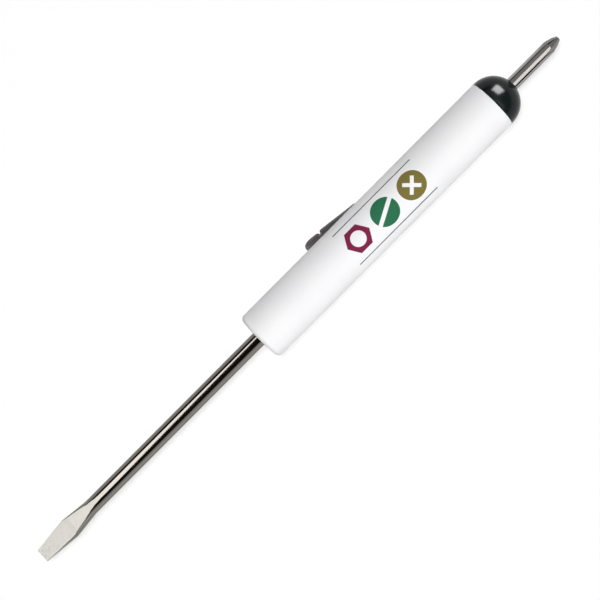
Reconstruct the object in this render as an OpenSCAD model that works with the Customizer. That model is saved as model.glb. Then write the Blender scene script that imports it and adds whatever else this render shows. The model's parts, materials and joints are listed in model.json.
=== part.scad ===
// Pocket screwdriver, in millimetres: a white barrel with a fixed flat blade at one end,
// a domed cap carrying a cross-point bit at the other, and a spring clip through its side.
// The tool lies along X with the blade towards -X, resting on its barrel and its clip on Z = 0.

/* [Barrel] */
// Outside diameter of the barrel
handle_d = 12.7; // [11.8:0.1:14]
// Length of the barrel
handle_len = 76.2; // [68:0.2:90]
// Thickness of the barrel's wall
wall = 1.8; // [1.4:0.1:2]
// Rounding of the barrel's lower rim
rim_round = 1.1; // [0.6:0.05:1.4]
// Thickness of the barrel's closed lower end
floor_t = 3; // [2:0.5:5]
// Diameter of the boss that grips the shank
boss_d = 7; // [6.2:0.1:7.6]
// Thickness of the ribs that tie the boss to the wall
rib_t = 1; // [0.8:0.1:1.4]

/* [Flat blade] */
// Diameter of the shank
shank_d = 3.8; // [3.4:0.1:4]
// Length of the blade outside the barrel
blade_len = 72; // [60:0.5:100]
// Length of the tang inside the boss
tang_len = 20; // [16:0.5:24]
// Turn of the blade's flats about the tool's axis
blade_turn = 13; // [0:1:90]
// Width of the flat tip at its end
tip_w = 3.5; // [3:0.1:4]
// Thickness of the flat tip at its end
tip_t = 0.6; // [0.4:0.05:0.9]
// Width across the forged shoulders
shoulder_w = 5.3; // [4.5:0.1:5.7]
// Thickness of the blade at its shoulders
shoulder_t = 2.7; // [2.3:0.1:2.9]
// Distance of the shoulders from the tip
shoulder_at = 9.2; // [7:0.2:11]
// Distance of the start of the flare from the tip
flare_at = 16; // [13:0.2:19]
// Run of the steepest part of the flat faces, from the shoulders to their heel
heel_run = 1.4; // [1:0.1:2]
// Depth of the flat faces below the shank's surface at their heel
heel_in = 0.32; // [0.2:0.02:0.4]
// Length of the flat faces
face_len = 19; // [17:0.2:21]

/* [Wings pressed out of the tangs] */
// Width across the wings of the blade's tang
shank_wing_w = 5.2; // [4.6:0.1:5.8]
// Width across the wings of the bit's tang
bit_wing_w = 5; // [4.4:0.1:6]
// Thickness of the wings
wing_t = 1.1; // [0.8:0.1:1.4]
// Length of the wings along the tool
wing_len = 5; // [3:0.5:6]
// Distance of the wings from the inner end of each tang
wing_in = 3; // [1:0.5:5]

/* [End cap] */
// Height of the cap's straight rim below its dome
cap_rim = 0.3; // [0.2:0.05:1]
// Length of the plug that fits in the barrel
plug_len = 10; // [9:0.5:16]
// Bevel on the plug's leading edge
plug_bevel = 0.5; // [0.2:0.1:0.8]
// Width of the key along the plug
key_w = 1.6; // [1.2:0.1:2.2]
// Height of the key above the plug
key_h = 0.6; // [0.4:0.1:0.9]

/* [Cross-point bit] */
// Diameter of the bit's shaft
bit_d = 3.3; // [3:0.1:3.6]
// Length of the bit outside the dome
bit_len = 14.8; // [11:0.1:22]
// Turn of the bit's wings about the tool's axis
bit_turn = 9; // [0:1:89]
// Diameter of the blunt end of the bit
point_d = 1.1; // [0.9:0.05:1.3]
// Length of the steep nose of the bit
nose_len = 1.05; // [0.8:0.05:1.25]
// Half angle of the steep nose
nose_angle = 27; // [24:1:30]
// Half angle of the wings above the nose
wing_angle = 16.5; // [13:0.5:20]
// Diameter of the core between the flutes at the blunt end
core_d = 0.7; // [0.55:0.05:0.75]
// Length of the flutes
flute_len = 5.2; // [4.6:0.1:6.6]

/* [Pocket clip] */
// Width of the clip's strip
clip_w = 4.6; // [4:0.1:5.2]
// Thickness of the clip's strip
clip_t = 0.5; // [0.4:0.05:0.6]
// Distance of the clip's rounded end from the barrel's lower end
clip_at = 22.2; // [10:0.2:30]
// Length of the clip's tip, from its rounded end to its contact ridge
clip_tip = 4.8; // [4:0.1:6]
// Run of the sloping arm, from the ridge to the bend over the slot
clip_arm = 9.4; // [8:0.1:14]
// Height of the arm's inner face above the barrel beside the ridge
clip_lift = 1; // [0.8:0.05:1.4]
// Depth of the strip's middle below the barrel's surface where it bends inwards
clip_sink = 0.2; // [0.1:0.05:0.4]
// Length of the tail that lies behind the barrel's wall
tail_len = 6.5; // [4:0.5:9]
// Steepness of the contact ridge's sides
ridge_angle = 65; // [50:1:75]
// Steepness of the bend through the slot
slot_angle = 60; // [45:1:75]
// Slope of the tip in front of the ridge
tip_slope = 8; // [4:1:12]
// Further slope of the lip at the clip's end
lip_slope = 14; // [5:1:25]
// Length of the lip
lip_len = 0.8; // [0.5:0.1:1.2]

/* [Fits] */
// Gap of the pressed and moulded-in fits, each side
press_gap = 0.02; // [0.01:0.01:0.04]
// Gap between the contact ridge and the barrel
ridge_gap = 0.18; // [0.1:0.02:0.3]
// Gap between the arm and the slot's lower edge
seat_gap = 0.12; // [0.1:0.02:0.2]
// Play of the strip in the slot and of its tail in the bore
slot_play = 0.15; // [0.1:0.05:0.25]

/* [Hidden] */
$fn = 64;

// Overrun of cuts past the faces that they open
over = 0.5;
// Depth of the tang's bore beyond the tang, and of the boss beyond that bore
bore_end = 0.1;
boss_end = 2;
// Bevel on the inner end of each tang, and the shoulder by which the bit's shaft seats on the dome
tang_bevel = 0.4;
bit_shoulder = 0.2;
// Depth to which the bit's tang stops short of the plug's end
bit_inset = 1;
// Inside radii of the clip's bends: at the ridge, at the slot and at the lip
ridge_r = 0.08;
slot_r = 0.4;
lip_r = 0.8;
// Steps in which each of the clip's bends is drawn
bend_steps = 8;

handle_r = handle_d / 2;
bore_r = handle_r - wall;
boss_r = boss_d / 2;
bore_len = tang_len + bore_end;
boss_h = bore_len + boss_end;
shank_r = shank_d / 2;
bit_r = bit_d / 2;
bit_tang_r = bit_r - bit_shoulder;
bit_hole_r = bit_tang_r + press_gap;
dome_r = handle_r;
plug_r = bore_r - press_gap;
key_r = bore_r + key_h;

// Places along the tool, from the barrel's lower end
tip_z = -blade_len;
plug_z = handle_len - plug_len;
dome_z = handle_len + cap_rim;
bit_in_z = plug_z + bit_inset;
bit_tip_z = dome_z + dome_r + bit_len;
bit_out_z = dome_z + sqrt(pow(dome_r, 2) - pow(bit_hole_r, 2)) + press_gap;
shank_wing_z = tang_len - wing_in - wing_len / 2;
bit_wing_z = bit_in_z + wing_in + wing_len / 2;

// Radii and lengths of the bit's point, from its blunt end
point_r = point_d / 2;
nose_r = point_r + nose_len * tan(nose_angle);
taper_len = (bit_r - nose_r) / tan(wing_angle);
flute_slope = atan((bit_r - core_d / 2) / flute_len);

// The clip in side view, along the middle of its strip: places along the tool and heights
// from its axis
end_r = clip_w / 2;
ridge_at = clip_at + clip_tip;
ridge_high = handle_r + ridge_gap + clip_t / 2;
arm_high = handle_r + clip_lift + clip_t / 2;
arm_slope = atan((clip_lift + clip_t / 2 + clip_sink) / clip_arm);
tail_high = sqrt(pow(bore_r - slot_play, 2) - pow(end_r, 2)) - clip_t / 2;

// Radii of the bends at the strip's middle, and the straight sides of the ridge and the slot's bend
ridge_bend = ridge_r + clip_t / 2;
slot_bend = slot_r + clip_t / 2;
lip_bend = lip_r + clip_t / 2;
function ridge_side(slope) =
    (arm_high - ridge_high - ridge_bend * (1 + cos(slope) - 2 * cos(ridge_angle))) / sin(ridge_angle);
function ridge_run(slope) =
    ridge_bend * (2 * sin(ridge_angle) + sin(slope)) + ridge_side(slope) * cos(ridge_angle);
slot_side = (handle_r - clip_sink - tail_high
             - slot_bend * (1 + cos(arm_slope) - 2 * cos(slot_angle))) / sin(slot_angle);
slot_run = slot_bend * (2 * sin(slot_angle) - sin(arm_slope)) + slot_side * cos(slot_angle);
arm_at = ridge_at + ridge_run(arm_slope);
slot_from = arm_at + (clip_lift - seat_gap) / tan(arm_slope);
slot_to = arm_at + clip_arm + slot_run + slot_play;
lip_turn = tip_slope + lip_slope;
lip_run = lip_bend * (sin(lip_turn) - sin(tip_slope)) + lip_len * cos(lip_turn);
tip_run = clip_tip - ridge_run(-tip_slope) - lip_run;

// The clip's two walks from its ridge, each move a straight run, a turn and its radius
tail_moves = [[0, ridge_angle, ridge_bend],
              [ridge_side(arm_slope), -ridge_angle - arm_slope, ridge_bend],
              [clip_arm / cos(arm_slope), arm_slope - slot_angle, slot_bend],
              [slot_side, slot_angle, slot_bend],
              [tail_len, 0, 0]];
tip_moves = [[0, ridge_angle, ridge_bend],
             [ridge_side(-tip_slope), tip_slope - ridge_angle, ridge_bend],
             [tip_run / cos(tip_slope), lip_slope, lip_bend],
             [lip_len, 0, 0]];

// The clip's turn about the tool's axis at which it and the barrel lie on one plane, measured
// from straight down, and the middle of the tool's footprint
end_high = arm_high + (clip_tip - ridge_run(-tip_slope) - end_r) * tan(tip_slope)
         + clip_t / 2 / cos(tip_slope);
clip_turn = acos(handle_r / norm([end_high, end_r])) + atan2(end_r, end_high);
clip_out = end_high * sin(clip_turn) + end_r * norm([tan(tip_slope) * sin(clip_turn), cos(clip_turn)]);
mid_x = (tip_z + bit_tip_z) / 2;
mid_y = (clip_out - handle_r) / 2;

// A move's points and headings: its straight run, then chords of its arc.
function move_points(move, from, heading) =
    let (start = from + move[0] * [cos(heading), sin(heading)],
         steps = move[1] == 0 ? 0 : bend_steps)
    [for (k = [0 : steps])
        let (turn = steps == 0 ? 0 : move[1] * k / steps,
             chord = 2 * move[2] * sin(abs(turn) / 2))
        [start + chord * [cos(heading + turn / 2), sin(heading + turn / 2)], heading + turn]];

// A walk through a list of moves, each from where the one before it ended.
function walk(moves, from, heading, i = 0) =
    i == len(moves) ? [] :
    let (part = move_points(moves[i], from, heading), last = part[len(part) - 1])
    concat(part, walk(moves, last[0], last[1], i + 1));

// The points of a walk set off to one side of it by half the strip's thickness.
function beside(path, side) =
    [for (p = path) p[0] + side * clip_t / 2 * [-sin(p[1]), cos(p[1])]];
function backwards(points) = [for (i = [len(points) - 1 : -1 : 0]) points[i]];
function mirrored(points) = [for (i = [1 : len(points) - 1]) [-points[i].x, points[i].y]];

// Lays the tool, modelled upright about Z, along X over the middle of its footprint.
module lay() {
    translate([-mid_x, -mid_y, handle_r]) rotate([0, 90, 0]) children();
}

// Turns a side view, along the tool by height from its axis, to the clip's place.
module at_clip() {
    rotate([0, 0, clip_turn]) rotate([-90, -90, 0]) children();
}

// The wings of a tang about their middle, grown by gap on every side.
module wings(wide, mid, gap) {
    translate([0, 0, mid])
        cube([wing_t + 2 * gap, wide + 2 * gap, wing_len + 2 * gap], center = true);
}

// The barrel's outer form: a cylinder whose lower rim is rounded.
module barrel_form() {
    rotate_extrude() {
        translate([0, rim_round]) square([handle_r, handle_len - rim_round]);
        square([handle_r - rim_round, rim_round]);
        intersection() {
            translate([handle_r - rim_round, rim_round]) circle(r = rim_round);
            translate([handle_r - rim_round, 0]) square(rim_round);
        }
    }
}

// The core that hollows the barrel from its open upper end, leaving the boss and its ribs.
module barrel_core() {
    difference() {
        translate([0, 0, floor_t]) cylinder(r = bore_r, h = handle_len - floor_t + over);
        cylinder(r = boss_r, h = boss_h);
        for (a = [0, 90])
            rotate([0, 0, a])
                translate([-handle_r, -rib_t / 2, 0])
                    cube([handle_d, rib_t, tang_len]);
    }
}

// The slot through which the clip enters the barrel.
module clip_slot() {
    at_clip()
        translate([slot_from, 0, -end_r - slot_play])
            cube([slot_to - slot_from, handle_d, clip_w + 2 * slot_play]);
}

// The key along the cap's plug that carries the turning force into the barrel.
module cap_key(gap) {
    intersection() {
        translate([-key_w / 2 - gap, 0, plug_z + plug_bevel - gap])
            cube([key_w + 2 * gap, handle_r, plug_len - plug_bevel + gap]);
        cylinder(r = key_r - press_gap + gap, h = handle_len);
    }
}

module handle_barrel() {
    color("white")
        difference() {
            barrel_form();
            barrel_core();
            translate([0, 0, -over]) cylinder(r = shank_r + press_gap, h = bore_len + over);
            rotate([0, 0, -blade_turn]) wings(shank_wing_w, shank_wing_z, press_gap);
            clip_slot();
            cap_key(press_gap);
        }
}

// The blade before its flats are made, round in section: taper, shoulders, flare, rod and tang.
module round_blade() {
    rotate_extrude()
        polygon([[0, tip_z], [tip_w / 2, tip_z], [shoulder_w / 2, tip_z + shoulder_at],
                 [shank_r, tip_z + flare_at], [shank_r, tang_len - tang_bevel],
                 [shank_r - tang_bevel, tang_len], [0, tang_len]]);
}

// What the two flat faces take off the round form, steepest between the shoulders and the heel.
module flats() {
    heel_at = shoulder_at + heel_run;
    reach = face_len + over;
    depth = shank_r + over * heel_in / (face_len - heel_at);
    for (side = [0, 180])
        rotate([0, 0, side])
            translate([0, shoulder_w, tip_z])
                rotate([90, 0, 0])
                    linear_extrude(2 * shoulder_w)
                        polygon([[tip_t / 2, -over], [tip_t / 2, 0], [shoulder_t / 2, shoulder_at],
                                 [shank_r - heel_in, heel_at], [depth, reach],
                                 [depth + shoulder_w, reach], [depth + shoulder_w, -over]]);
}

module flat_blade() {
    color("dimgray")
        rotate([0, 0, -blade_turn]) {
            difference() {
                round_blade();
                flats();
            }
            wings(shank_wing_w, shank_wing_z, 0);
        }
}

module end_cap() {
    color([0.12, 0.13, 0.13])
        difference() {
            union() {
                translate([0, 0, handle_len])
                    rotate_extrude() {
                        square([dome_r, cap_rim]);
                        translate([0, cap_rim])
                            intersection() {
                                circle(r = dome_r);
                                square(dome_r);
                            }
                    }
                rotate_extrude()
                    polygon([[0, plug_z], [plug_r - plug_bevel, plug_z], [plug_r, plug_z + plug_bevel],
                             [plug_r, handle_len], [0, handle_len]]);
                cap_key(0);
            }
            translate([0, 0, plug_z - over])
                cylinder(r = bit_hole_r, h = plug_len + cap_rim + dome_r + 2 * over);
            wings(bit_wing_w, bit_wing_z, press_gap);
        }
}

// The bit before its flutes are cut, round in section: tang, shaft, taper and nose.
module bit_form() {
    nose_z = bit_tip_z - nose_len;
    rotate_extrude()
        polygon([[0, bit_in_z], [bit_tang_r - tang_bevel, bit_in_z],
                 [bit_tang_r, bit_in_z + tang_bevel], [bit_tang_r, bit_out_z], [bit_r, bit_out_z],
                 [bit_r, nose_z - taper_len], [nose_r, nose_z], [point_r, bit_tip_z], [0, bit_tip_z]]);
}

// The four grooves between the bit's wings, from the blunt end to where they leave the shaft.
module flutes() {
    for (a = [45 : 90 : 315])
        rotate([0, 0, a])
            translate([core_d / 2, 0, bit_tip_z])
                rotate([0, -flute_slope, 0])
                    rotate([0, 0, -45])
                        translate([0, 0, -2 * flute_len])
                            cube([bit_d, bit_d, 2 * flute_len + over]);
}

module cross_bit() {
    color("gray") {
        difference() {
            bit_form();
            rotate([0, 0, -bit_turn]) flutes();
        }
        wings(bit_wing_w, bit_wing_z, 0);
    }
}

// The clip's strip in side view: its tip, its ridge, its arm, its bend and its tail.
module clip_side() {
    tail = walk(tail_moves, [0, ridge_high], 0);
    tip = walk(tip_moves, [0, ridge_high], 0);
    translate([ridge_at, 0])
        polygon(concat(backwards(mirrored(beside(tip, 1))), beside(tail, 1),
                       backwards(beside(tail, -1)), mirrored(beside(tip, -1))));
}

// The clip's strip in plan, with its rounded end.
module clip_plan() {
    translate([clip_at + end_r, 0]) circle(r = end_r);
    translate([clip_at + end_r, -end_r]) square([handle_len, clip_w]);
}

module pocket_clip() {
    color("silver")
        at_clip()
            intersection() {
                linear_extrude(clip_w, center = true) clip_side();
                rotate([-90, 0, 0]) linear_extrude(handle_d) clip_plan();
            }
}

lay() handle_barrel();
lay() flat_blade();
lay() end_cap();
lay() cross_bit();
lay() pocket_clip();
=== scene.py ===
import json
import math

import bpy
import numpy as np
from mathutils import Matrix, Vector


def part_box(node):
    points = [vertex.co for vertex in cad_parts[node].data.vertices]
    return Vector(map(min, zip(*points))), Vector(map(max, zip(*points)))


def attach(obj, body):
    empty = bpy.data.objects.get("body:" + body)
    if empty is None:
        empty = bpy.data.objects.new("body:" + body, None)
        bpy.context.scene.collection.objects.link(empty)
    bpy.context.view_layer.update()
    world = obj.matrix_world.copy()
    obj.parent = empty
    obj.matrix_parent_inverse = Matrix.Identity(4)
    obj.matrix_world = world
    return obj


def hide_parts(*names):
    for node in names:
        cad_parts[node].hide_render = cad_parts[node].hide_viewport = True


# The pocket screwdriver lies along X, flat tip towards -X, on a pale studio floor at Z = 0.
# Sizes in its pieces' dictionaries are millimetres and degrees; meshes and places are metres.
mm = 0.001
tiny = 1e-6  # keeps a division off zero
sharpEdge = 35.0  # edges that turn by more degrees than this stay crisp
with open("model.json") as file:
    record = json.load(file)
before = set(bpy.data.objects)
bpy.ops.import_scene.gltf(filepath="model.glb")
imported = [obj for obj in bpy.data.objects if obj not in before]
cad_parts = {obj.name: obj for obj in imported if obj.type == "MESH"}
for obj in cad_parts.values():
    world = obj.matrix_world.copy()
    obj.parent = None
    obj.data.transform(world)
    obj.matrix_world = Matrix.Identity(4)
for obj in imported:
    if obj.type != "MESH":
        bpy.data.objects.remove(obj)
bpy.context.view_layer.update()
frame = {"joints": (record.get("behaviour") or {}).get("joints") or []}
scene = bpy.context.scene
scene.view_settings.view_transform = "Standard"

barrelLow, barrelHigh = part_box("handle_barrel")
bladeLow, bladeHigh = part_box("flat_blade")
bitLow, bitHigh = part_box("cross_bit")
axisY = (barrelLow.y + barrelHigh.y) / 2
axisZ = (barrelLow.z + barrelHigh.z) / 2
barrelRadius = (barrelHigh.z - barrelLow.z) / 2 / mm
barrelLong = (barrelHigh.x - barrelLow.x) / mm
# The clip's hinge lies across its strip, a quarter turn from where the strip's outside points.
hingeAxis = frame["joints"][0]["axis"]
clipTurn = math.atan2(-hingeAxis[2], hingeAxis[1])  # radians from straight up towards +Y
print("frame loaded: barrel radius", round(barrelRadius, 3), "mm, axis at", axisY, axisZ)


# Mesh helpers

def sinDeg(degrees):
    # The sine of an angle in degrees.
    return math.sin(math.radians(degrees))


def cosDeg(degrees):
    # The cosine of an angle in degrees.
    return math.cos(math.radians(degrees))


def around(x, radius, angle):
    # At x along the tool, the point at that radius from its axis, turned by the angle from
    # straight up towards the clip's side.
    x, radius, angle = np.broadcast_arrays(x, radius, angle)
    return np.stack([x, axisY + radius * np.sin(angle), axisZ + radius * np.cos(angle)], axis=-1)


def gridQuads(rows, columns, wrapRows=False):
    # Corner numbers of a grid's quads. Columns always run round and close on the first one,
    # and rows do so too where the profile is a loop.
    i = np.arange(rows if wrapRows else rows - 1)[:, None]
    j = np.arange(columns)[None, :]
    below, beside = (i + 1) % rows, (j + 1) % columns
    corners = [i * columns + j, below * columns + j, below * columns + beside, i * columns + beside]
    return np.stack(corners, axis=-1)


def poleFan(firstCorner, columns, pole, atStart):
    # Triangles from a ring of columns to one pole, before the first row or after the last.
    j = firstCorner + np.arange(columns)
    beside = firstCorner + (np.arange(columns) + 1) % columns
    poles = np.full(columns, pole)
    return np.stack([poles, j, beside] if atStart else [j, poles, beside], axis=-1)


def makePiece(name, points, faces):
    # One mesh object at the origin from an array of points and arrays of face corners, shaded
    # smooth except across sharp edges.
    mesh = bpy.data.meshes.new(name)
    corners = [face for array in faces for face in array.tolist()]
    mesh.from_pydata(points.reshape(-1, 3).tolist(), [], corners)
    mesh.polygons.foreach_set("use_smooth", np.ones(len(mesh.polygons), bool))
    mesh.set_sharp_from_angle(angle=math.radians(sharpEdge))
    mesh.validate()
    piece = bpy.data.objects.new(name, mesh)
    scene.collection.objects.link(piece)
    return piece


def closedTube(name, points, startPole, endPole):
    # A grid of closed rings, shut at both ends by a fan of triangles to a pole.
    rows, columns = points.shape[:2]
    corners = rows * columns
    vertices = np.concatenate([points.reshape(-1, 3), [startPole, endPole]])
    faces = [gridQuads(rows, columns).reshape(-1, 4),
             poleFan(0, columns, corners, True),
             poleFan(corners - columns, columns, corners + 1, False)]
    return makePiece(name, vertices, faces)


def dress(piece, material, body, slot, *nodes):
    # A piece gets its finish and the body that it rides on, and the nodes it stands for are hidden.
    piece.data.materials.append(material)
    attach(piece, body)
    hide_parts(*nodes)


def arcPoints(centreX, centreR, radius, fromDeg, toDeg, steps):
    # Points of an arc in the profile plane, along the tool by distance from the axis; 0 degrees
    # points out from the axis and 90 along the tool.
    turn = np.radians(np.linspace(fromDeg, toDeg, steps))
    return np.stack([centreX + radius * np.sin(turn), centreR + radius * np.cos(turn)], axis=-1)


def softened(stations, places, values, spread, taps=9):
    # A bent line through places and values with its corners eased: the mean of the line over a
    # short window round each station, the line being carried on straight past its ends.
    places, values = np.asarray(places, float), np.asarray(values, float)
    first = (values[1] - values[0]) / (places[1] - places[0])
    last = (values[-1] - values[-2]) / (places[-1] - places[-2])
    places = np.concatenate([[places[0] - spread], places, [places[-1] + spread]])
    values = np.concatenate([[values[0] - first * spread], values, [values[-1] + last * spread]])
    shifts = np.linspace(-spread, spread, taps)
    return np.interp(stations[:, None] + shifts, places, values).mean(axis=1)


def steppedRuns(ends, counts):
    # Stations from the first end to the last, with a count of even ones from each end to the next.
    runs = [np.linspace(low, high, count) for low, high, count in zip(ends, ends[1:], counts)]
    return np.concatenate([run[:-1] for run in runs[:-1]] + runs[-1:])


def sectionTurns(corner, edge, last, counts):
    # Angles of a stretch of every section: even steps up to the edge round its corner, fine steps
    # across that edge, and even steps on towards the last angle.
    ends = [np.zeros_like(corner), corner - edge, corner + edge, np.full_like(corner, last)]
    runs = [low + (high - low) * np.linspace(0, 1, count, endpoint=False)
            for low, high, count in zip(ends, ends[1:], counts)]
    return np.concatenate(runs, axis=1)


def smallerOf(first, second, power):
    # The smaller of two radii, eased where they are alike: the sum of both to a high negative
    # power, brought back by the root of that power.
    return (first ** -power + second ** -power) ** (-1 / power)


# Shader helpers

def newMaterial(name):
    # A material made of nodes, with its tree and its Principled shader.
    material = bpy.data.materials.new(name)
    material.use_nodes = True
    tree = material.node_tree
    return material, tree, tree.nodes["Principled BSDF"]


def giveInput(tree, socket, value):
    # A socket takes a plain value, or a link where the value is another node's output.
    if isinstance(value, bpy.types.NodeSocket):
        tree.links.new(value, socket)
    else:
        socket.default_value = value


def giveInputs(tree, node, inputs):
    # Each socket of a node that is named or numbered here takes its value.
    for key, value in inputs.items():
        giveInput(tree, node.inputs[key], value)


def addNode(tree, kind, inputs=None, **settings):
    # A new node: its settings come first, because they can change its sockets, and then its inputs.
    node = tree.nodes.new(kind)
    for key, value in settings.items():
        setattr(node, key, value)
    giveInputs(tree, node, inputs or {})
    return node


def calc(tree, operation, *values):
    # One sum on plain values or outputs.
    return addNode(tree, "ShaderNodeMath", dict(enumerate(values)), operation=operation).outputs[0]


def mixColour(tree, factor, first, second):
    # The first colour where the factor is 0, and the second where it is 1. Sockets for other types
    # have the same names, so these are found by identifier.
    node = addNode(tree, "ShaderNodeMix", data_type="RGBA")
    sockets = {socket.identifier: socket for socket in [*node.inputs, *node.outputs]}
    giveInput(tree, sockets["Factor_Float"], factor)
    giveInput(tree, sockets["A_Color"], first)
    giveInput(tree, sockets["B_Color"], second)
    return sockets["Result_Color"]


def mapRange(tree, value, fromLow, fromHigh, toLow, toHigh, smooth=False):
    # One range of a value is carried over to another, which it doesn't leave; smooth eases its ends.
    inputs = {"Value": value, "From Min": fromLow, "From Max": fromHigh,
              "To Min": toLow, "To Max": toHigh}
    kind = "SMOOTHSTEP" if smooth else "LINEAR"
    return addNode(tree, "ShaderNodeMapRange", inputs, interpolation_type=kind).outputs[0]


def between(tree, mask, low, high):
    # A mask from 0 to 1 becomes a value from low to high.
    return mapRange(tree, mask, 0.0, 1.0, low, high)


def objectPlace(tree):
    # The place on a piece, in the tool's own metres, because every piece sits at the origin.
    return addNode(tree, "ShaderNodeTexCoord").outputs["Object"]


def splitPlace(tree, place):
    # A place's X, Y and Z.
    return addNode(tree, "ShaderNodeSeparateXYZ", {0: place}).outputs


def addBump(tree, shader, height, distance):
    # The shader's normal follows the slope of a height mask times a distance in metres.
    node = addNode(tree, "ShaderNodeBump", {"Height": height, "Distance": distance})
    tree.links.new(node.outputs[0], shader.inputs["Normal"])


# Fine wear, shared by every finish

wearSetup = {"Streaks": {"scale": 4000.0, "detail": 3.0, "rough": 0.6, "range": (0.3, 0.7),
                         "stretch": 0.02},
             "Specks": {"scale": 2600.0, "detail": 4.0, "rough": 0.65, "range": (0.52, 0.72)},
             "Mottle": {"scale": 180.0, "detail": 3.0, "rough": 0.5, "range": (0.3, 0.7)}}


def newGroup(name, inputs, outputs):
    # A shader node group with its sockets: inputs as name, type and default, outputs as names.
    group = bpy.data.node_groups.new(name, "ShaderNodeTree")
    for label, kind, default in inputs:
        socket = group.interface.new_socket(label, in_out="INPUT", socket_type=kind)
        if default is not None:
            socket.default_value = default
    for label in outputs:
        group.interface.new_socket(label, in_out="OUTPUT", socket_type="NodeSocketFloat")
    return group, group.nodes.new("NodeGroupInput"), group.nodes.new("NodeGroupOutput")


def makeWearGroup(setup):
    # Three kinds of marks, each a noise whose middle range is stretched over 0 to 1: streaks drawn
    # out along the tool, specks of dirt and dents, and a slow mottle.
    inputs = [("Place", "NodeSocketVector", None),
              ("Streak Stretch", "NodeSocketFloat", setup["Streaks"]["stretch"])]
    inputs += [(label + " Scale", "NodeSocketFloat", kind["scale"]) for label, kind in setup.items()]
    group, given, result = newGroup("fineWear", inputs, list(setup))
    place = given.outputs["Place"]
    split = splitPlace(group, place)
    drawn = {"X": calc(group, "MULTIPLY", split["X"], given.outputs["Streak Stretch"]),
             "Y": split["Y"], "Z": split["Z"]}
    drawnPlace = addNode(group, "ShaderNodeCombineXYZ", drawn).outputs[0]
    for label, kind in setup.items():
        inputs = {"Vector": drawnPlace if "stretch" in kind else place,
                  "Scale": given.outputs[label + " Scale"],
                  "Detail": kind["detail"], "Roughness": kind["rough"]}
        noise = addNode(group, "ShaderNodeTexNoise", inputs).outputs[0]
        group.links.new(mapRange(group, noise, *kind["range"], 0.0, 1.0), result.inputs[label])
    return group


wearGroup = makeWearGroup(wearSetup)


def addWear(tree, place, scales):
    # The group placed in a material with that finish's own scales.
    marks = addNode(tree, "ShaderNodeGroup", {"Place": place, **scales}, node_tree=wearGroup).outputs
    return marks["Streaks"], marks["Specks"], marks["Mottle"]


# Barrel

barrelSetup = {"wall": 1.8, "rimRound": 1.1, "topRound": 0.12, "floor": 3.0, "bossRadius": 3.5,
               "bossHigh": 22.1, "shankHole": 1.92, "shankHoleDeep": 20.1,
               "slotFrom": 33.56, "slotTo": 39.59, "slotHalf": 2.45,
               "slotLeast": 1.3,  # nearer the axis than this many half widths it opens no wider
               "columns": 192, "slotColumns": 24, "slotRows": 8, "rimSteps": 13, "topSteps": 6,
               "whites": [(0.885, 0.885, 0.9, 1), (0.91, 0.91, 0.915, 1)],
               "rough": (0.42, 0.5), "gloss": 0.04, "bump": 0.004,
               "wear": {"Streaks Scale": 1500.0, "Streak Stretch": 0.06, "Mottle Scale": 120.0}}


def barrelProfile(barrel):
    # The wall in section, from the pole of the shank's hole out over the rounded lower rim, up the
    # outside, over the top and down the bore to the pole on the boss. Rows of equal count lie
    # between the slot's ends outside and inside.
    bore = barrelRadius - barrel["wall"]
    rimRound, topRound = barrel["rimRound"], barrel["topRound"]
    slotAlong = np.linspace(barrel["slotFrom"], barrel["slotTo"], barrel["slotRows"] + 1)
    lower = [[barrel["shankHoleDeep"], barrel["shankHole"]],
             [0.0, barrel["shankHole"]]]
    rim = arcPoints(rimRound, barrelRadius - rimRound, rimRound, -90, 0, barrel["rimSteps"])
    outside = np.stack([slotAlong, np.full_like(slotAlong, barrelRadius)], axis=-1)
    top = arcPoints(barrelLong - topRound, barrelRadius - topRound, topRound, 0, 90, barrel["topSteps"])
    inside = np.stack([slotAlong[::-1], np.full_like(slotAlong, bore)], axis=-1)
    upper = [[barrel["floor"], bore],
             [barrel["floor"], barrel["bossRadius"]],
             [barrel["bossHigh"], barrel["bossRadius"]]]
    parts = [lower, rim, outside, top, [[barrelLong, bore]], inside, upper]
    outsideRow = len(lower) + len(rim)
    insideRow = outsideRow + len(outside) + len(top) + 1
    return np.concatenate(parts), outsideRow, insideRow


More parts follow.
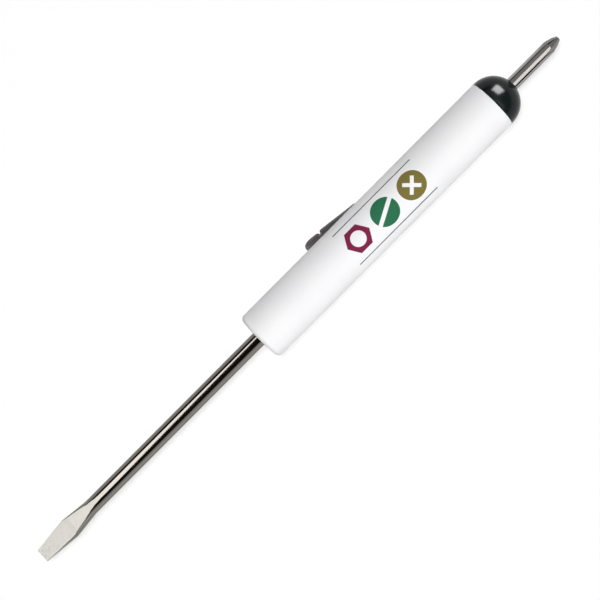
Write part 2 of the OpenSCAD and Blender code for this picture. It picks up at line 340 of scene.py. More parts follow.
def makeBarrel(barrel):
    # The profile turned about the axis. Two columns keep to the slot's sides: with a the half angle
    # that the slot takes up at a row's radius, the columns within it are spread evenly over -a to a
    # and the rest over what is left of the turn.
    profile, outsideRow, insideRow = barrelProfile(barrel)
    x, radius = profile[:, :1], profile[:, 1:]
    rows, columns = len(profile), barrel["columns"]
    slotRows, slotColumns, slotHalf = barrel["slotRows"], barrel["slotColumns"], barrel["slotHalf"]
    half = np.arcsin(slotHalf / np.maximum(radius, slotHalf * barrel["slotLeast"]))
    within = np.linspace(-1, 1, slotColumns + 1) * half
    share = np.linspace(0, 1, columns - slotColumns, endpoint=False)[1:]
    beyond = half + share * (2 * math.pi - 2 * half)
    angle = clipTurn + np.concatenate([within, beyond], axis=1)
    points = around(barrelLow.x + x * mm, radius * mm, angle)
    quads = gridQuads(rows, columns)
    opened = np.zeros(quads.shape[:2], bool)
    opened[outsideRow:outsideRow + slotRows, :slotColumns] = True
    opened[insideRow:insideRow + slotRows, :slotColumns] = True
    corner = np.arange(rows * columns).reshape(rows, columns)
    outer = corner[outsideRow:outsideRow + slotRows + 1, :slotColumns + 1]
    inner = corner[insideRow:insideRow + slotRows + 1, :slotColumns + 1][::-1]

    def bridge(first, second, flip):  # quads between two lines of corners
        ring = [first[:-1], first[1:], second[1:], second[:-1]]
        return np.stack(ring[::-1] if flip else ring, axis=-1)

    walls = [bridge(outer[:, 0], inner[:, 0], False), bridge(outer[:, -1], inner[:, -1], True),
             bridge(outer[0], inner[0], True), bridge(outer[-1], inner[-1], False)]
    poles = around(barrelLow.x + x[[0, -1], 0] * mm, 0.0, 0.0)
    vertices = np.concatenate([points.reshape(-1, 3), poles])
    faces = [quads[~opened], *walls, poleFan(0, columns, rows * columns, True),
             poleFan((rows - 1) * columns, columns, rows * columns + 1, False)]
    return makePiece("barrelShell", vertices, faces)


printSetup = {"middle": 41.0, "spacing": 8.6, "big": 3.5, "hexHole": 1.9, "slotWide": 1.0,
              "slotTurn": 28.0, "crossWide": 0.9, "crossLong": 2.2, "crossTurn": 45.0, "edge": 0.06,
              "lineAt": 5.0, "lineWide": 0.32, "lineLong": 25.0,
              "green": (0.027, 0.165, 0.080, 1), "ochre": (0.205, 0.171, 0.045, 1),
              "maroon": (0.216, 0.019, 0.065, 1), "grey": (0.12, 0.12, 0.13, 1)}


def printedMarks(tree, place, base, signs):
    # Screw-head signs printed on the barrel, drawn by their distances: along is measured towards +X
    # from the print's middle, across is the arc from the top, both in millimetres.
    split = splitPlace(tree, place)
    middle = barrelLow.x + signs["middle"] * mm
    along = calc(tree, "MULTIPLY", calc(tree, "SUBTRACT", split["X"], middle), 1 / mm)
    turn = calc(tree, "ARCTAN2", calc(tree, "SUBTRACT", split["Y"], axisY),
                calc(tree, "SUBTRACT", split["Z"], axisZ))
    across = calc(tree, "MULTIPLY", turn, barrelRadius)
    big, halfSlot, halfArm = signs["big"], signs["slotWide"] / 2, signs["crossWide"] / 2

    def larger(first, second):
        return calc(tree, "MAXIMUM", first, second)

    def bar(x, y, halfLong, halfWide):  # how far past its ends or its sides, the larger
        return larger(calc(tree, "SUBTRACT", calc(tree, "ABSOLUTE", x), halfLong),
                      calc(tree, "SUBTRACT", calc(tree, "ABSOLUTE", y), halfWide))

    def disc(x, y, radius):  # distance from the middle, less the radius
        length = calc(tree, "SQRT", calc(tree, "ADD", calc(tree, "MULTIPLY", x, x),
                                         calc(tree, "MULTIPLY", y, y)))
        return calc(tree, "SUBTRACT", length, radius)

    def hexagon(x, y, radius):  # how far past a level or a slanted side, the larger
        sideTurn = 30.0  # from a corner's direction to that of the side next to it
        wide, high = calc(tree, "ABSOLUTE", x), calc(tree, "ABSOLUTE", y)
        slant = calc(tree, "ADD", calc(tree, "MULTIPLY", wide, cosDeg(sideTurn)),
                     calc(tree, "MULTIPLY", high, sinDeg(sideTurn)))
        return calc(tree, "SUBTRACT", larger(slant, high), radius * cosDeg(sideTurn))

    def cut(shape, hole):  # inside the shape and outside the hole
        return larger(shape, calc(tree, "MULTIPLY", hole, -1.0))

    def turned(x, y, degrees):  # the same place on axes turned by the angle
        cosine, sine = cosDeg(degrees), sinDeg(degrees)
        return (calc(tree, "ADD", calc(tree, "MULTIPLY", x, cosine), calc(tree, "MULTIPLY", y, sine)),
                calc(tree, "SUBTRACT", calc(tree, "MULTIPLY", y, cosine),
                     calc(tree, "MULTIPLY", x, sine)))

    def ink(colour, distance, over):  # the colour where the distance is below 0, softly edged
        mask = mapRange(tree, distance, -signs["edge"] / 2, signs["edge"] / 2, 1.0, 0.0, True)
        return mixColour(tree, mask, over, colour)

    left = calc(tree, "ADD", along, signs["spacing"])
    right = calc(tree, "SUBTRACT", along, signs["spacing"])
    nut = cut(hexagon(left, across, big), disc(left, across, signs["hexHole"]))
    slotX, slotY = turned(along, across, signs["slotTurn"])
    slotted = cut(disc(along, across, big), bar(slotX, slotY, big, halfSlot))
    crossX, crossY = turned(right, across, signs["crossTurn"])
    arms = calc(tree, "MINIMUM", bar(crossX, crossY, signs["crossLong"], halfArm),
                bar(crossY, crossX, signs["crossLong"], halfArm))
    crossed = cut(disc(right, across, big), arms)
    fromLine = calc(tree, "SUBTRACT", calc(tree, "ABSOLUTE", across), signs["lineAt"])
    lines = bar(along, fromLine, signs["lineLong"] / 2, signs["lineWide"] / 2)
    colour = ink(signs["maroon"], nut, base)
    colour = ink(signs["green"], slotted, colour)
    colour = ink(signs["ochre"], crossed, colour)
    return ink(signs["grey"], lines, colour)


def barrelMaterial(barrel):
    # White plastic: the mottle goes from one white to the other and sets the gloss, the print lies
    # on top, and streaks and mottle make a faint moulded grain.
    material, tree, shader = newMaterial("whiteMouldedPlastic")
    place = objectPlace(tree)
    streaks, _, mottle = addWear(tree, place, barrel["wear"])
    plain = mixColour(tree, mottle, *barrel["whites"])
    giveInputs(tree, shader, {"Base Color": printedMarks(tree, place, plain, printSetup),
                              "Roughness": between(tree, mottle, *barrel["rough"]),
                              "Specular IOR Level": barrel["gloss"]})
    addBump(tree, shader, calc(tree, "ADD", streaks, mottle), barrel["bump"] * mm)
    return material


barrelPiece = makeBarrel(barrelSetup)
dress(barrelPiece, barrelMaterial(barrelSetup), "handle", "barrel_plastic", "handle_barrel")
print("barrel made:", len(barrelPiece.data.polygons), "faces")


# End cap

capSetup = {"plugLong": 10.0, "plugRadius": 4.53, "plugBevel": 0.5, "bitHole": 1.47, "rim": 0.3,
            "rimRound": 0.15, "seam": 0.02, "columns": 160, "rimSteps": 6, "domeSteps": 40,
            "blacks": [(0.005, 0.008, 0.009, 1), (0.009, 0.013, 0.013, 1)],
            "speck": (0.05, 0.055, 0.055, 1), "speckRange": (0.75, 1.0, 0.0, 0.2),
            "rough": (0.16, 0.21), "gloss": 0.15, "bump": 0.002,
            "wear": {"Streaks Scale": 900.0, "Streak Stretch": 0.5, "Specks Scale": 2200.0,
                     "Mottle Scale": 150.0}}


def makeCap(cap):
    # A closed profile turned about the axis: up the plug, out along the seam, up the short rim and
    # over the dome to the bit's hole, and back down the hole.
    plugEnd, seam, rimRound = barrelLong - cap["plugLong"], barrelLong + cap["seam"], cap["rimRound"]
    hole = math.degrees(math.acos(cap["bitHole"] / barrelRadius))
    plug = [[plugEnd, cap["bitHole"]],
            [plugEnd, cap["plugRadius"] - cap["plugBevel"]],
            [plugEnd + cap["plugBevel"], cap["plugRadius"]],
            [seam, cap["plugRadius"]]]
    rim = arcPoints(seam + rimRound, barrelRadius - rimRound, rimRound, -90, 0, cap["rimSteps"])
    dome = arcPoints(barrelLong + cap["rim"], 0.0, barrelRadius, 0, hole, cap["domeSteps"])
    profile = np.concatenate([plug, rim, dome])
    angle = np.linspace(0, 2 * math.pi, cap["columns"], endpoint=False)
    points = around(barrelLow.x + profile[:, :1] * mm, profile[:, 1:] * mm, angle)
    return makePiece("domedCap", points, [gridQuads(*points.shape[:2], True).reshape(-1, 4)])


def capMaterial(cap):
    # Near-black plastic: the mottle goes from one black to the other, the strongest specks are a
    # little paler, and the streaks set the gloss.
    material, tree, shader = newMaterial("blackMouldedPlastic")
    streaks, specks, mottle = addWear(tree, objectPlace(tree), cap["wear"])
    colour = mixColour(tree, mottle, *cap["blacks"])
    colour = mixColour(tree, mapRange(tree, specks, *cap["speckRange"]), colour, cap["speck"])
    giveInputs(tree, shader, {"Base Color": colour, "Roughness": between(tree, streaks, *cap["rough"]),
                              "Specular IOR Level": cap["gloss"]})
    addBump(tree, shader, streaks, cap["bump"] * mm)
    return material


capPiece = makeCap(capSetup)
dress(capPiece, capMaterial(capSetup), "handle", "cap_plastic", "end_cap")
print("cap made:", len(capPiece.data.polygons), "faces")


# Flat blade: widths and thicknesses are halves, and places are measured from the tip

bladeSetup = {"shank": 1.9, "tipHalf": 1.75, "shoulderHalf": 2.65, "shoulderAt": 9.2, "flareAt": 16.0,
              "tipThick": 0.3, "shoulderThick": 1.35, "heelThick": 1.58, "heelAt": 10.6,
              "riseThick": 1.7, "riseAt": 15.6, "faceLong": 19.0,
              "leaveLong": 9.5, "leaveSteep": 3.0,  # how the face goes on past its end, off the rod
              "turn": 13.0, "tangBevel": 0.4, "edgePower": 90.0, "sideEase": 0.15, "faceEase": 0.15,
              "edgeTurn": 1.6, "leastTurn": 5.0, "turnSteps": (16, 4, 16),
              "runEnds": (0.0, 0.3, 20.0, 26.0), "runSteps": (4, 150, 13, 40),
              "plated": [(0.152, 0.142, 0.127, 1), (0.183, 0.171, 0.153, 1)],
              "satin": [(0.62, 0.604, 0.562, 1), (0.688, 0.671, 0.624, 1)],
              "speck": (0.36, 0.35, 0.32, 1), "speckRange": (0.1, 0.8, 0.0, 0.9),
              "tipWear": 7.0, "leastWear": 0.3, "platedRough": (0.07, 0.12), "satinRough": (0.54, 0.64),
              "satinMetal": 0.7, "bump": 0.006,
              "wear": {"Streaks Scale": 5000.0, "Streak Stretch": 0.03, "Specks Scale": 2400.0,
                       "Mottle Scale": 260.0}}


def bladeSection(stations, blade):
    # Half width and half thickness of the blade along its stations from the tip, as bent lines with
    # eased corners.
    shank, faceLong, leaveLong = blade["shank"], blade["faceLong"], blade["leaveLong"]
    wide = softened(stations, [0, blade["shoulderAt"], blade["flareAt"], stations[-1]],
                    [blade["tipHalf"], blade["shoulderHalf"], shank, shank], blade["sideEase"])
    rise = (shank - blade["riseThick"]) / (faceLong - blade["riseAt"])
    places = [0, blade["shoulderAt"], blade["heelAt"], blade["riseAt"], faceLong, faceLong + leaveLong]
    depths = [blade["tipThick"], blade["shoulderThick"], blade["heelThick"], blade["riseThick"], shank,
              shank + rise * blade["leaveSteep"] * leaveLong]
    return wide, softened(stations, places, depths, blade["faceEase"])


def makeBlade(blade):
    # Each section is the smaller of a circle of the half width and a slab of the half thickness,
    # blended by a high power so that the edge between them is a little round. The face's edge
    # stays on one column from the tip to where the face runs out.
    total = (bladeHigh.x - bladeLow.x) / mm
    stations = steppedRuns([*blade["runEnds"], total], blade["runSteps"])
    wide, thick = (values[:, None] for values in bladeSection(stations, blade))
    corner = np.arccos(np.clip(thick / wide, 0, 1))
    corner = np.maximum(corner, math.radians(blade["leastTurn"]))
    edge = np.minimum(math.radians(blade["edgeTurn"]), (math.pi / 2 - corner) / 2)
    quarter = sectionTurns(corner, edge, math.pi / 2, blade["turnSteps"])
    square = np.full_like(corner, math.pi / 2)
    half = np.concatenate([quarter, square, math.pi - quarter[:, :0:-1]], axis=1)
    turn = np.concatenate([half, half + math.pi], axis=1)

    def slabRadius(thickness, angle):  # half thickness over the cosine from the face's middle
        return thickness / np.maximum(np.abs(np.cos(angle)), tiny)

    radius = smallerOf(wide, slabRadius(thick, turn), blade["edgePower"])
    bevel = np.clip((total - stations[:, None]) / blade["tangBevel"], 0, 1)
    radius = radius - blade["tangBevel"] * (1 - bevel)
    points = around(bladeLow.x + stations[:, None] * mm, radius * mm,
                    turn + math.radians(blade["turn"]))
    poles = around(np.array([bladeLow.x, bladeHigh.x]), 0.0, 0.0)
    piece = closedTube("flatBlade", points, poles[0], poles[1])
    # A face carries 1 where the slab bounds it and 0 where the round form does. The last face of a
    # ring ends at the first column, a whole turn on.
    middleTurn = (turn[:-1] + np.roll(turn, -1, axis=1)[:-1]) / 2
    middleTurn[:, -1] += math.pi
    flat = (slabRadius(thick[:-1], middleTurn) < wide[:-1]) * 1.0
    tipEnd, tangEnd = np.ones(turn.shape[1]), np.zeros(turn.shape[1])
    values = np.concatenate([flat.reshape(-1), tipEnd, tangEnd])
    mark = piece.data.attributes.new("groundFace", "FLOAT", "FACE")
    mark.data.foreach_set("value", values.astype(np.float32))
    return piece


def bladeMaterial(blade):
    # Plated steel with streaks along the rod, and pale rougher satin on the faces marked as ground.
    material, tree, shader = newMaterial("nickelPlatedBlade")
    place = objectPlace(tree)
    streaks, specks, mottle = addWear(tree, place, blade["wear"])
    ground = addNode(tree, "ShaderNodeAttribute", attribute_name="groundFace").outputs["Fac"]
    plated = mixColour(tree, streaks, *blade["plated"])
    satin = mixColour(tree, mottle, *blade["satin"])
    # Specks are dense at the tip, where the blade is used, and thin out up the face.
    wornEnd = bladeLow.x + blade["tipWear"] * mm
    used = mapRange(tree, splitPlace(tree, place)["X"], bladeLow.x, wornEnd, 1.0, blade["leastWear"])
    marks = calc(tree, "MULTIPLY", mapRange(tree, specks, *blade["speckRange"]), used)
    satin = mixColour(tree, marks, satin, blade["speck"])
    rough = addNode(tree, "ShaderNodeMix", {"Factor": ground,
                                            "A": between(tree, streaks, *blade["platedRough"]),
                                            "B": between(tree, mottle, *blade["satinRough"])},
                    data_type="FLOAT").outputs[0]
    giveInputs(tree, shader, {"Base Color": mixColour(tree, ground, plated, satin), "Roughness": rough,
                              "Metallic": between(tree, ground, 1.0, blade["satinMetal"])})
    grain = calc(tree, "MULTIPLY", calc(tree, "ADD", streaks, specks), ground)
    addBump(tree, shader, grain, blade["bump"] * mm)
    return material


bladePiece = makeBlade(bladeSetup)
dress(bladePiece, bladeMaterial(bladeSetup), "handle", "blade_steel", "flat_blade")
print("blade made:", len(bladePiece.data.polygons), "faces")


# Cross-point bit: widths are halves, and lengths are measured from the point

bitSetup = {"shaft": 1.65, "tang": 1.45, "tangBevel": 0.4, "stepLong": 0.001, "pointHalf": 0.55,
            "noseLong": 1.05, "noseSlope": 27.0, "wingSlope": 16.5, "coreHalf": 0.35,
            "fluteLong": 5.2, "turn": 9.0, "edgePower": 50.0, "ease": 0.12, "pointRound": 0.16,
            "edgeTurn": 3.0, "mostTurn": 38.0, "turnSteps": (6, 5, 7),
            "fineLong": 7.2, "runSteps": (6, 110, 24),
            "steels": [(0.27, 0.257, 0.243, 1), (0.36, 0.346, 0.332, 1)],
            "speck": (0.18, 0.165, 0.155, 1), "speckRange": (0.4, 1.0, 0.0, 0.5),
            "rough": (0.09, 0.13), "metal": 1.0, "bump": 0.0015,
            "wear": {"Streaks Scale": 5000.0, "Streak Stretch": 0.05, "Specks Scale": 2600.0,
                     "Mottle Scale": 420.0}}


def bitSection(bit, free, held):
    # Half width of the bit, and half thickness of its wings, at the stations of its free length and
    # of its held tang. Two steady slopes and a blunt end make the point. A wing grows from the core
    # at the point until it leaves the shaft. Along the tang it is the wider, so the tang is round.
    shaft, tang, pointRound = bit["shaft"], bit["tang"], bit["pointRound"]
    noseHalf = bit["pointHalf"] + bit["noseLong"] * math.tan(math.radians(bit["noseSlope"]))
    taperEnd = bit["noseLong"] + (shaft - noseHalf) / math.tan(math.radians(bit["wingSlope"]))
    wide = softened(free, [0, bit["noseLong"], taperEnd, free[-1]],
                    [bit["pointHalf"], noseHalf, shaft, shaft], bit["ease"])
    blunt = np.clip(1 - free / pointRound, 0, 1)
    wide = wide - pointRound * (1 - np.sqrt(1 - blunt ** 2))
    slope = (shaft - bit["coreHalf"]) / bit["fluteLong"]
    wing = (bit["coreHalf"] + free * slope) / math.sqrt(2)
    wide = np.concatenate([wide, [tang, tang, tang - bit["tangBevel"]]])
    return wide[:, None], np.concatenate([wing, np.full(len(held), shaft)])[:, None]


def makeBit(bit):
    # Four wings: within an eighth of a turn of a wing's middle the section is the smaller of the
    # outer circle and the wing's flat side. The shaft ends on the dome, at the cap's hole.
    total = (bitHigh.x - bitLow.x) / mm
    holeHigh = capSetup["rim"] + math.sqrt(barrelRadius ** 2 - capSetup["bitHole"] ** 2)
    out = (bitHigh.x - barrelHigh.x) / mm - holeHigh - capSetup["seam"]
    free = steppedRuns([0, bit["pointRound"], bit["fineLong"], out], bit["runSteps"])
    held = np.array([out + bit["stepLong"], total - bit["tangBevel"], total])
    wide, wing = bitSection(bit, free, held)
    corner = np.arcsin(np.clip(wing / wide, 0, sinDeg(bit["mostTurn"])))
    edge = np.minimum(math.radians(bit["edgeTurn"]), (math.pi / 4 - corner) / 2)
    eighth = sectionTurns(corner, edge, math.pi / 4, bit["turnSteps"])
    valley = np.full_like(corner, math.pi / 4)
    quarter = np.concatenate([eighth, valley, math.pi / 2 - eighth[:, :0:-1]], axis=1)
    fromWing = np.concatenate([eighth, valley, eighth[:, :0:-1]], axis=1)
    turn = np.concatenate([quarter + k * math.pi / 2 for k in range(4)], axis=1)
    flank = wing / np.maximum(np.sin(np.tile(fromWing, (1, 4))), tiny)
    radius = smallerOf(wide, flank, bit["edgePower"])
    stations = np.concatenate([free, held])[:, None]
    points = around(bitHigh.x - stations * mm, radius * mm, turn + math.radians(bit["turn"]))
    poles = around(np.array([bitLow.x, bitHigh.x]), 0.0, 0.0)
    return closedTube("crossPointBit", points[::-1], poles[0], poles[1])


def bitMaterial(bit):
    # Satin steel: streaks go from one grey to the other, specks are darker, the mottle sets the gloss.
    material, tree, shader = newMaterial("satinNickelBit")
    streaks, specks, mottle = addWear(tree, objectPlace(tree), bit["wear"])
    colour = mixColour(tree, streaks, *bit["steels"])
    colour = mixColour(tree, mapRange(tree, specks, *bit["speckRange"]), colour, bit["speck"])
    giveInputs(tree, shader, {"Base Color": colour, "Roughness": between(tree, mottle, *bit["rough"]),
                              "Metallic": bit["metal"]})
    addBump(tree, shader, streaks, bit["bump"] * mm)
    return material


bitPiece = makeBit(bitSetup)
dress(bitPiece, bitMaterial(bitSetup), "handle", "bit_steel", "cross_bit")
print("bit made:", len(bitPiece.data.polygons), "faces")


# Pocket clip

clipSetup = {"wide": 4.6, "thick": 0.5, "endAt": 22.2, "tip": 4.8, "arm": 9.4, "lift": 1.0,
             "sink": 0.2, "tail": 6.5, "ridgeAngle": 65.0, "slotAngle": 60.0, "tipSlope": 8.0,
             "lipSlope": 14.0, "lipLong": 0.8, "ridgeGap": 0.18, "slotPlay": 0.15,
             "ridgeRound": 0.08, "slotRound": 0.4, "lipRound": 0.8, "edgeRound": 0.1,
             "edgeShare": 0.9,  # most of the half width that the edges' rounding takes
             "bendSteps": 14, "runStep": 0.35, "edgeSteps": 5, "faceSteps": 14, "endSteps": 22,
             "endTurn": 4.0, "endGap": 0.05,
             "steels": [(0.118, 0.11, 0.109, 1), (0.15, 0.14, 0.139, 1)],
             "speck": (0.085, 0.08, 0.077, 1), "speckRange": (0.5, 1.0, 0.0, 0.4),
             "rough": (0.2, 0.28), "metal": (0.42, 0.55), "gloss": 0.2, "bump": 0.0015,
             "wear": {"Streaks Scale": 4200.0, "Streak Stretch": 0.05, "Specks Scale": 2400.0,
                      "Mottle Scale": 300.0}}


def walkPath(moves, start, runStep, bendSteps):
    # A path in side view made of moves, each a straight run and then a bend by an angle at a
    # radius; the point and the heading at each step.
    place, heading = np.array(start, float), 0.0
    points, headings = [place[None, :]], [np.zeros(1)]
    for run, bend, radius in moves:
        steps = np.linspace(0, run, max(int(run / runStep), 1) + 1)[1:, None]
        ahead = np.array([math.cos(heading), math.sin(heading)])
        if run > 0:
            points.append(place + steps * ahead)
            headings.append(np.full(len(steps), heading))
            place = place + run * ahead
        if bend:
            part = math.radians(bend) * np.linspace(0, 1, bendSteps + 1)[1:]
            chord = 2 * radius * np.sin(np.abs(part) / 2)
            way = heading + part / 2
            arc = place + chord[:, None] * np.stack([np.cos(way), np.sin(way)], axis=-1)
            points.append(arc)
            headings.append(heading + part)
            place, heading = arc[-1], heading + math.radians(bend)
    return np.concatenate(points), np.concatenate(headings)


def clipPath(clip):
    # The middle of the strip from its rounded end to the end of its tail: the tip's walk from the
    # ridge, mirrored and reversed, and then the tail's walk. Straight sides take up what the bends
    # leave of each rise.
    half, bore = clip["thick"] / 2, barrelRadius - barrelSetup["wall"]
    ridgeAngle, slotAngle, tipSlope = clip["ridgeAngle"], clip["slotAngle"], clip["tipSlope"]
    ridgeHigh, armHigh = barrelRadius + clip["ridgeGap"] + half, barrelRadius + clip["lift"] + half
    slope = math.degrees(math.atan((clip["lift"] + half + clip["sink"]) / clip["arm"]))
    tailHigh = math.sqrt((bore - clip["slotPlay"]) ** 2 - (clip["wide"] / 2) ** 2) - half
    ridgeBend, slotBend, lipBend = (clip[k] + half for k in ("ridgeRound", "slotRound", "lipRound"))

    def ridgeSide(tilt):  # length of a straight side: the rise left by the bends, over the sine
        rise = armHigh - ridgeHigh - ridgeBend * (1 + cosDeg(tilt) - 2 * cosDeg(ridgeAngle))
        return rise / sinDeg(ridgeAngle)

    def ridgeRun(tilt):  # how far half the ridge reaches along: its bends and its straight side
        bends = ridgeBend * (2 * sinDeg(ridgeAngle) + sinDeg(tilt))
        return bends + ridgeSide(tilt) * cosDeg(ridgeAngle)

    slotBends = slotBend * (1 + cosDeg(slope) - 2 * cosDeg(slotAngle))
    slotSide = (barrelRadius - clip["sink"] - tailHigh - slotBends) / sinDeg(slotAngle)
    lipTurn = tipSlope + clip["lipSlope"]
    lipRun = lipBend * (sinDeg(lipTurn) - sinDeg(tipSlope)) + clip["lipLong"] * cosDeg(lipTurn)
    tipRun = clip["tip"] - ridgeRun(-tipSlope) - lipRun
    tailMoves = [(0, ridgeAngle, ridgeBend),
                 (ridgeSide(slope), -ridgeAngle - slope, ridgeBend),
                 (clip["arm"] / cosDeg(slope), slope - slotAngle, slotBend),
                 (slotSide, slotAngle, slotBend),
                 (clip["tail"], 0, 0)]
    tipMoves = [(0, ridgeAngle, ridgeBend),
                (ridgeSide(-tipSlope), tipSlope - ridgeAngle, ridgeBend),
                (tipRun / cosDeg(tipSlope), clip["lipSlope"], lipBend),
                (clip["lipLong"], 0, 0)]
    ridge = (0.0, ridgeHigh)
    tail, tailWay = walkPath(tailMoves, ridge, clip["runStep"], clip["bendSteps"])
    tip, tipWay = walkPath(tipMoves, ridge, clip["runStep"], clip["bendSteps"])
    path = np.concatenate([(tip * [-1, 1])[:0:-1], tail])
    path[:, 0] += clip["endAt"] + clip["tip"]
    return path, np.concatenate([-tipWay[:0:-1], tailWay])


def makeClip(clip):
    # A flat section with round edges carried along the path. Over the first half width of the path
    # the strip narrows to a half round end.
    path, way = clipPath(clip)
    half, endHalf = clip["thick"] / 2, clip["wide"] / 2
    ease = np.radians(np.linspace(clip["endTurn"], 90, clip["endSteps"]))
    endX = clip["endAt"] + endHalf * (1 - np.cos(ease))
    beyond = path[:, 0] > endX[-1] + clip["endGap"]
    beyond[np.argmax(beyond):] = True
    order = np.argsort(path[:, 0])
    endY, endWay = (np.interp(endX, path[order, 0], v[order]) for v in (path[:, 1], way))
    x = np.concatenate([endX, path[beyond, 0]])[:, None]
    high = np.concatenate([endY, path[beyond, 1]])[:, None]
    way = np.concatenate([endWay, way[beyond]])[:, None]
    wide = np.concatenate([endHalf * np.sin(ease), np.full(beyond.sum(), endHalf)])[:, None]
    edge = np.minimum(clip["edgeRound"], wide * clip["edgeShare"])
    bend = np.radians(np.linspace(90, 0, clip["edgeSteps"]))
    flat = np.linspace(-1, 1, clip["faceSteps"])[1:-1]
    inner = wide - edge
    topSide = inner + edge * np.cos(bend)
    topHigh = half - clip["edgeRound"] * (1 - np.sin(bend))
    across = np.concatenate([inner * flat, topSide, topSide[:, ::-1], inner * -flat, -topSide,
                             -topSide[:, ::-1]], axis=1)
    level = np.full_like(flat, half)
    out = np.concatenate([level, topHigh, -topHigh[::-1], -level, -topHigh, topHigh[::-1]])
    along = x - out * np.sin(way)
    height = high + out * np.cos(way)
    cosine, sine = math.cos(clipTurn), math.sin(clipTurn)
    points = np.stack([barrelLow.x + along * mm,
                       axisY + (height * sine + across * cosine) * mm,
                       axisZ + (height * cosine - across * sine) * mm], axis=-1)
    return closedTube("springClip", points, points[0].mean(axis=0), points[-1].mean(axis=0))


def clipMaterial(clip):
    # Dark plated spring steel: streaks go from one grey to the other, specks are darker, and the
    # mottle sets the gloss and how metallic it is.
    material, tree, shader = newMaterial("nickelPlatedClip")
    streaks, specks, mottle = addWear(tree, objectPlace(tree), clip["wear"])
    colour = mixColour(tree, streaks, *clip["steels"])
    colour = mixColour(tree, mapRange(tree, specks, *clip["speckRange"]), colour, clip["speck"])
    giveInputs(tree, shader, {"Base Color": colour, "Roughness": between(tree, mottle, *clip["rough"]),
                              "Metallic": between(tree, mottle, *clip["metal"]),
                              "Specular IOR Level": clip["gloss"]})
    addBump(tree, shader, streaks, clip["bump"] * mm)
    return material


clipPiece = makeClip(clipSetup)
dress(clipPiece, clipMaterial(clipSetup), "clip", "clip_steel", "pocket_clip")
print("clip made:", len(clipPiece.data.polygons), "faces")


# Floor and backdrop, metres

stageSetup = {"flat": 1.9, "bend": 0.4, "wallTop": 0.5, "below": 0.00003, "inner": 0.05,
              "columns": 96, "flatRows": 24, "bendRows": 13,
              "liftNear": 0.10, "liftFar": 0.32, "leastLift": 0.62, "rough": 0.9, "gloss": 0.0,
              "bounced": (0.66, 0.66, 0.66, 1), "seen": (1.0, 1.0, 1.0, 1)}


def makeStage(stage):
    # A round sweep: a flat floor that bends up into a low wall, turned about the upright axis.
    bend, below = stage["bend"], stage["below"]
    turn = np.linspace(0, math.pi / 2, stage["bendRows"])[1:]
    flat = np.linspace(stage["inner"], stage["flat"], stage["flatRows"])
    wall = stage["flat"] + bend
    radius = np.concatenate([flat, stage["flat"] + bend * np.sin(turn), [wall]])[:, None]
    high = np.concatenate([np.zeros_like(flat), bend * (1 - np.cos(turn)), [stage["wallTop"]]])[:, None]
    angle = np.linspace(0, 2 * math.pi, stage["columns"], endpoint=False)
    points = np.stack(np.broadcast_arrays(radius * np.cos(angle), radius * np.sin(angle),
                                          high - below), axis=-1)
    rows, columns = points.shape[:2]
    vertices = np.concatenate([points.reshape(-1, 3), [[0, 0, -below]]])
    faces = [gridQuads(rows, columns).reshape(-1, 4), poleFan(0, columns, rows * columns, True)]
    return makePiece("studioSweep", vertices, faces)


def stageMaterial(stage):
    # Pale paper under the lamps, a little grey where it throws light back on the tool. Towards the
    # camera, and in reflections, it is white, and is lifted to plain white, partly near the tool, so
    # that its shadow stays, and wholly further out.
    material, tree, shader = newMaterial("whitePaper")
    distance = addNode(tree, "ShaderNodeVectorMath", {0: objectPlace(tree)}, operation="LENGTH")
    lift = mapRange(tree, distance.outputs["Value"], stage["liftNear"], stage["liftFar"],
                    stage["leastLift"], 1.0, True)
    path = addNode(tree, "ShaderNodeLightPath").outputs
    seen = calc(tree, "MAXIMUM", calc(tree, "MAXIMUM", path["Is Camera Ray"], path["Is Glossy Ray"]),
                path["Is Transmission Ray"])
    giveInputs(tree, shader, {"Base Color": mixColour(tree, seen, stage["bounced"], stage["seen"]),
                              "Roughness": stage["rough"], "Specular IOR Level": stage["gloss"]})
    white = addNode(tree, "ShaderNodeEmission", {"Color": stage["seen"], "Strength": 1.0})
    blend = addNode(tree, "ShaderNodeMixShader", {0: calc(tree, "MULTIPLY", lift, seen),
                                                  1: shader.outputs[0], 2: white.outputs[0]})
    tree.links.new(blend.outputs[0], tree.nodes["Material Output"].inputs["Surface"])
    return material


sweepPiece = makeStage(stageSetup)
sweepPiece.data.materials.append(stageMaterial(stageSetup))
print("floor and backdrop made")


# Lamps: places in metres from the tool's middle. A small overhead box casts the shadow, a large box
# fills it without one, and the others are cards that only show in gloss, four of them on one piece.

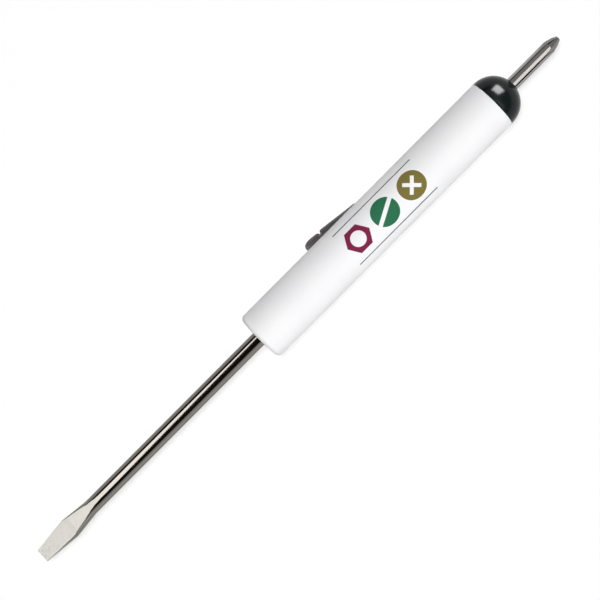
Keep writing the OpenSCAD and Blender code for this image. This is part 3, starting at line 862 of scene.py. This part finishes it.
worldColour = (0.02, 0.02, 0.02, 1)
boxKind = {"spin": 0.0, "light": True, "gloss": False, "shadow": True}
cardKind = {"spin": 0.0, "light": False, "gloss": True, "shadow": True}
lampTable = {
    "overheadBox": {**boxKind, "at": (0.0, 0.115, 1.19), "back": (0, 0.097, 0.995),
                    "size": (0.3, 0.3), "radiance": 40.5},
    "fillBox": {**boxKind, "at": (0.08, -1.05, 0.58), "back": (0.067, -0.875, 0.483),
                "size": (1.0, 1.0), "radiance": 2.36, "shadow": False},
    "shankCard": {**cardKind, "at": (-0.353, 0.51, 1.0), "back": (0, 0, 1),
                  "size": (0.47, 1.15), "radiance": 5.1, "spin": -12.8},
    "sideCard": {**cardKind, "at": (-0.65, -1.0, 0.47), "back": (0, -1, 0),
                 "size": (1.3, 0.93), "radiance": 1.0},
    "bitCard": {**cardKind, "at": (0.305, -0.565, 1.0), "back": (0, 0, 1),
                "size": (0.27, 1.13), "radiance": 2.3},
    "dimCard": {**cardKind, "at": (0.45, 0.89, 1.0), "back": (0, 0, 1),
                "size": (0.6, 1.72), "radiance": 0.42},
    "noseCard": {**cardKind, "at": (0.79, 0.0, 0.62), "back": (0.79, 0, 0.62),
                 "size": (0.7, 1.2), "radiance": 0.4, "only": bitPiece},
    "fluteCard": {**cardKind, "at": (0.58, 0.34, 1.0), "back": (0, 0, 1),
                  "size": (0.24, 0.24), "radiance": 1.4, "only": bitPiece},
    "clipCard": {**cardKind, "at": (0.0, 1.1, 0.64), "back": (0, 0.866, 0.5),
                 "size": (1.2, 0.8), "radiance": 0.5, "only": clipPiece},
    "capCard": {**cardKind, "at": (0.69, 0.33, 0.46), "back": (0.766, 0.365, 0.514),
                "size": (0.5, 0.5), "radiance": 37.0, "spin": 15.0, "only": capPiece},
}


def makeLamp(name, setup):
    # An area lamp with its back turned as given. Its power in watts is pi times its area times its
    # radiance.
    lamp = bpy.data.lights.new(name, "AREA")
    lamp.shape = "RECTANGLE"
    lamp.size, lamp.size_y = setup["size"]
    lamp.energy = math.pi * lamp.size * lamp.size_y * setup["radiance"]
    lamp.use_shadow = setup["shadow"]
    lamp.cycles.use_multiple_importance_sampling = setup["shadow"]
    holder = bpy.data.objects.new(name, lamp)
    back = Vector(setup["back"]).normalized()
    ahead = Vector((1, 0, 0))
    right = (ahead - back * ahead.dot(back)).normalized()
    upright = Matrix((right, back.cross(right), back)).transposed()
    turn = Matrix.Rotation(math.radians(setup["spin"]), 3, "Z")
    holder.matrix_world = (upright @ turn).to_4x4()
    holder.location = Vector((0, axisY, axisZ)) + Vector(setup["at"])
    holder.visible_camera = False
    holder.visible_diffuse = setup["light"]
    holder.visible_glossy = setup["gloss"]
    if "only" in setup:
        receivers = bpy.data.collections.new(name + "Receivers")
        receivers.objects.link(setup["only"])
        holder.light_linking.receiver_collection = receivers
    scene.collection.objects.link(holder)


for lampName, lampSetup in lampTable.items():
    makeLamp(lampName, lampSetup)
world = bpy.data.worlds.new("darkStudio")
world.use_nodes = True
world.node_tree.nodes["Background"].inputs["Color"].default_value = worldColour
scene.world = world
print("lamps made:", len(lampTable))


# Camera: over the tool, in millimetres and degrees

cameraSetup = {"overX": 14.28, "aimX": 0.03, "sideY": -1.285, "away": 403.87, "roll": 45.129,
               "lens": 104.49, "sensor": 36.0, "nearest": 10.0, "farthest": 20000.0}


def makeCamera(setup):
    # It looks down across the tool's axis; the roll sets the tool's +X that far up from the
    # picture's right.
    place = Vector((setup["overX"], setup["sideY"], axisZ / mm + setup["away"])) * mm
    aim = Vector((setup["aimX"], setup["sideY"], axisZ / mm)) * mm
    back = (place - aim).normalized()
    side = Vector((0, 1, 0))
    ahead = side.cross(back)
    cosine, sine = cosDeg(setup["roll"]), sinDeg(setup["roll"])
    right = ahead * cosine - side * sine
    up = ahead * sine + side * cosine
    camera = bpy.data.cameras.new("photoCamera")
    camera.lens = setup["lens"]
    camera.sensor_width = setup["sensor"]
    camera.clip_start = setup["nearest"] * mm
    camera.clip_end = setup["farthest"] * mm
    holder = bpy.data.objects.new("photoCamera", camera)
    holder.matrix_world = Matrix((right, up, back)).transposed().to_4x4()
    holder.location = place
    scene.collection.objects.link(holder)
    scene.camera = holder


makeCamera(cameraSetup)
print("camera made")
